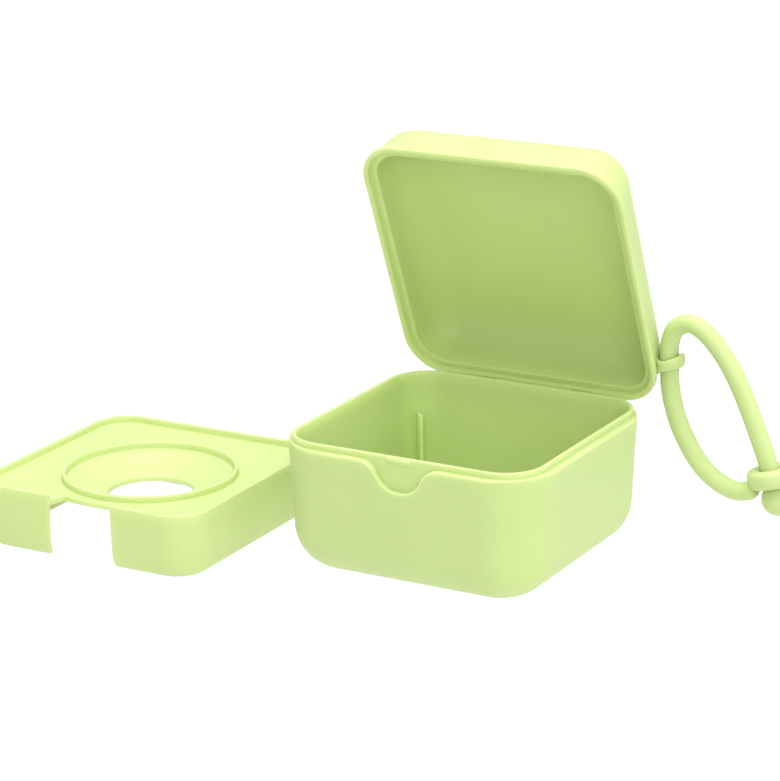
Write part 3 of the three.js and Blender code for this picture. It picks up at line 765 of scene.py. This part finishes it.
tray_levels += [plate_end, on_circle(COLLAR + 0.05, PLATE_AT_COLLAR + 0.12)]
tray_levels += [on_circle(COLLAR, PLATE_AT_COLLAR + 0.35)]
tray_levels += [on_circle(COLLAR - inset, COLLAR_TOP - drop) for inset, drop in rounding]
tray_levels += [on_circle(collar_inner + inset, COLLAR_TOP - drop) for inset, drop in rounding[::-1]]
tray_levels += [on_circle(collar_inner, PLATE_AT_COLLAR + 0.25)]
tray_levels += [on_circle(collar_inner - 0.1, PLATE_AT_COLLAR + 0.05)]
over_dish = (collar_inner - 0.5, 20.0, 16.0, DRAIN + 0.5)
tray_levels += [on_circle(radius, dish(radius)) for radius in over_dish]
tray_levels += [on_circle(DRAIN + 0.15, dish(DRAIN + 0.15) - 0.02), on_circle(DRAIN, DRAIN_TOP - 0.2)]
tray_levels += [on_circle(DRAIN, DRAIN_TOP - PLATE_THICKNESS + 0.2)]
under_dish = (DRAIN + 0.2, 18.0, collar_inner)
tray_levels += [on_circle(radius, dish(radius) - PLATE_THICKNESS) for radius in under_dish]
under_edge = skirt_level(TRAY_WALL, under_plate)
under_collar = on_circle(collar_inner, PLATE_AT_COLLAR - PLATE_THICKNESS)
tray_levels += [between(under_collar, under_edge, share) for share in (0.15, 0.5, 0.9)] + [under_edge]
tray_levels += [skirt_level(TRAY_WALL, z) for z in (under_plate - 0.3, *rise[:1:-1])]
tray_levels += [skirt_level(TRAY_WALL - inset, z) for inset, z in rounding]
tray_levels += [tray_levels[0]]
tray = as_object(loft(tray_levels, closed_on_itself=True), "tray_smooth")

# %% The front cut-out
GATE_LEFT, GATE_RIGHT, GATE_EDGE, GATE_FILLET = -10.0, 10.5, 29.5, 2.5
GATE_SLANT, GATE_FOOT = 1.0, 1.2
GATE_OUTSIDE, GATE_INSIDE = -45, -20  # the cutter reaches past the skirt and past the plate's edge
GATE_LOW, GATE_HIGH = -2, 22
FOOT_SHARES = (0.0, 0.06, 0.16, 0.32, 0.6, 1.0)  # the flare bends at these shares of its height
SIDE_ZONE = 5  # further out than this is one of the cutter's two sides
gate = block((GATE_LEFT, GATE_OUTSIDE, GATE_LOW), (GATE_RIGHT, GATE_INSIDE, GATE_HIGH))
gate = as_object(gate, "gate")
disc = bmesh.new()
bmesh.ops.create_cone(
    disc, cap_ends=True, segments=360, radius1=GATE_EDGE, radius2=GATE_EDGE, depth=60
)
gate = combine(gate, as_object(disc, "disc"), "DIFFERENCE")
bm = bmesh.new()
bm.from_mesh(gate.data)
upright = [
    edge for edge in bm.edges
    if abs(edge.verts[0].co.z - edge.verts[1].co.z) > 20 and edge.verts[0].co.y > -35
    and min(abs(edge.verts[0].co.x - GATE_LEFT), abs(edge.verts[0].co.x - GATE_RIGHT)) < 1e-3
]
bmesh.ops.bevel(
    bm, geom=upright, offset=GATE_FILLET, affect="EDGES", segments=8, profile=0.5, material=-1
)
for share in FOOT_SHARES:
    geom = [*bm.verts, *bm.edges, *bm.faces]
    plane = (0, 0, share * GATE_FOOT)
    bmesh.ops.bisect_plane(bm, geom=geom, dist=1e-5, plane_co=plane, plane_no=(0, 0, 1))
for v in bm.verts:
    left = 1 - min(max(v.co.z / GATE_FOOT, 0.0), 1.0)
    flare = GATE_FOOT * (1 - sqrt(1 - left ** 2))
    if v.co.x < -SIDE_ZONE:
        v.co.x -= flare + GATE_SLANT * (1 - v.co.z / TRAY_HEIGHT)
    elif v.co.x > SIDE_ZONE:
        v.co.x += flare
bm.to_mesh(gate.data)
bm.free()
tray = combine(tray, gate, "DIFFERENCE")
tray.data.transform(tray_place)
finish_piece(tray, "tray", ["tray"], case_plastic)

# %% [markdown]
# ## Floor and light
# A white light table: it glows a little, so it stays white under the tray and takes the shadows
# away, as in the picture. A white studio lights all round, with a broad soft lamp above, one on the
# right and one in front on the right. The darker insides are shade, not another colour.

# %% Floor
bm = bmesh.new()
bmesh.ops.create_grid(bm, x_segments=1, y_segments=1, size=3.0)
floor = as_object(bm, "floor")
table = bpy.data.materials.new("light_table")
table.use_nodes = True
table_shader = table.node_tree.nodes["Principled BSDF"]
table_shader.inputs["Base Color"].default_value = (0.1, 0.1, 0.1, 1)
table_shader.inputs["Roughness"].default_value = 0.9
table_shader.inputs["Specular IOR Level"].default_value = 0.0
table_shader.inputs["Emission Color"].default_value = (1, 1, 1, 1)
table_shader.inputs["Emission Strength"].default_value = 1.0
floor.data.materials.append(table)


# %% Lamps
def lamp(name, place, target, size, power):
    """A square soft lamp that looks at a point."""
    data = bpy.data.lights.new(name, "AREA")
    data.shape = "SQUARE"
    data.size = size
    data.energy = power
    obj = bpy.data.objects.new(name, data)
    bpy.context.scene.collection.objects.link(obj)
    obj.location = place
    direction = Vector(target) - Vector(place)
    obj.rotation_euler = direction.to_track_quat("-Z", "Y").to_euler()
    return obj


lamp("lamp_top", (0.0, -0.05, 1.3), (0, 0, 0), 1.2, 21.5)
lamp("lamp_right", (1.5, 0.1, 0.5), (0, 0, 0.03), 0.9, 6.8)
lamp("lamp_front", (0.8, -1.4, 0.8), (0, 0, 0.03), 1.0, 10.8)
world = bpy.data.worlds.new("studio")
world.use_nodes = True
world.node_tree.nodes["Background"].inputs["Color"].default_value = (1, 1, 1, 1)
world.node_tree.nodes["Background"].inputs["Strength"].default_value = 0.48
bpy.context.scene.world = world
bpy.context.scene.view_settings.view_transform = "Standard"
